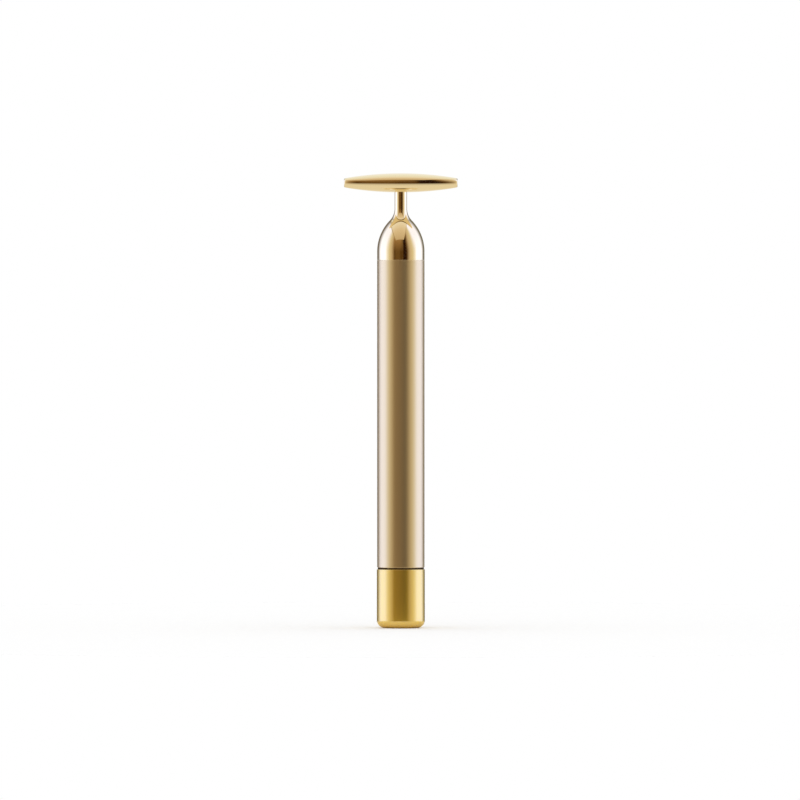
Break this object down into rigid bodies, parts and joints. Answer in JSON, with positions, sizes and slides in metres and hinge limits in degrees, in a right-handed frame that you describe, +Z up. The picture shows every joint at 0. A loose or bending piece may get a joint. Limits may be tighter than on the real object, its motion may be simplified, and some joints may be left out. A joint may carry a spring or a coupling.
{
  "type": "vibrating beauty bar",
  "caption": "Battery massage bar: T-shaped gold head on a thin neck, domed satin handle with motor and AA cell, and a screw-on tail cap that works as the switch.",
  "frame": {"origin": "centre of the tail cap's flat base, on which the bar stands", "axes": "+Z up along the bar to the massage head, +X along the head's long side, -Y towards the camera"},
  "size_m": [0.0396, 0.0168, 0.1583],
  "materials": {
    "polished_gold": "polished gold plate",
    "satin_gold": "satin gold anodised",
    "cap_gold": "semi-gloss gold anodised",
    "black_rubber": "matt",
    "brass": "machined",
    "steel": "plain",
    "spring_steel": "bright drawn",
    "cell_jacket": null,
    "grey_plastic": "moulded",
    "white_plastic": "moulded",
    "magnet": "sintered",
    "copper": "copper",
    "red_lead": "insulation",
    "black_lead": "insulation"
  },
  "bodies": {
    "tail": {"tail_cap": "cap_gold", "cap_insert": "brass", "seal_ring": "black_rubber", "tail_spring": "spring_steel"},
    "cell": {"battery_can": "steel", "battery_base": "steel", "battery_seal": "grey_plastic", "battery_jacket": "cell_jacket"},
    "handle": {"barrel": "satin_gold", "front_dome": "polished_gold", "dome_o_ring": "black_rubber", "massage_head": "polished_gold", "head_screw": "steel", "contact_carrier": "white_plastic", "positive_contact": "brass", "ground_contact": "brass", "chassis_front": "grey_plastic", "chassis_back": "grey_plastic", "chassis_screw_1": "steel", "chassis_screw_2": "steel", "motor_can": "steel", "motor_end_cap": "white_plastic", "motor_bush_front": "brass", "motor_bush_rear": "brass", "magnet_left": "magnet", "magnet_right": "magnet", "brush_left": "copper", "brush_right": "copper", "terminal_left": "brass", "terminal_right": "brass", "red_lead": "red_lead", "black_lead": "black_lead"},
    "rotor": {"rotor_shaft": "spring_steel", "armature_core": "steel", "armature_coil_1": "copper", "armature_coil_2": "copper", "armature_coil_3": "copper", "commutator": "copper", "eccentric_weight": "steel"}
  },
  "joints": [
    {"name": "cap_travel", "type": "slide", "parent": "tail", "child": "cell", "axis": [0, 0, 1], "range_m": [0, 0.006], "deforming": ["tail_spring"]},
    {"name": "cap_twist", "type": "hinge", "parent": "cell", "child": "handle", "pos_m": [0, 0, 0.021], "axis": [0, 0, 1], "range_deg": [0, 1440]},
    {"name": "rotor_spin", "type": "hinge", "parent": "handle", "child": "rotor", "pos_m": [0, 0, 0.1195], "axis": [0, 0, 1], "continuous": true}
  ],
  "couplings": [
    {"joint": "cap_twist", "follows": "cap_travel", "rad_per_m": 4188.8}
  ]
}
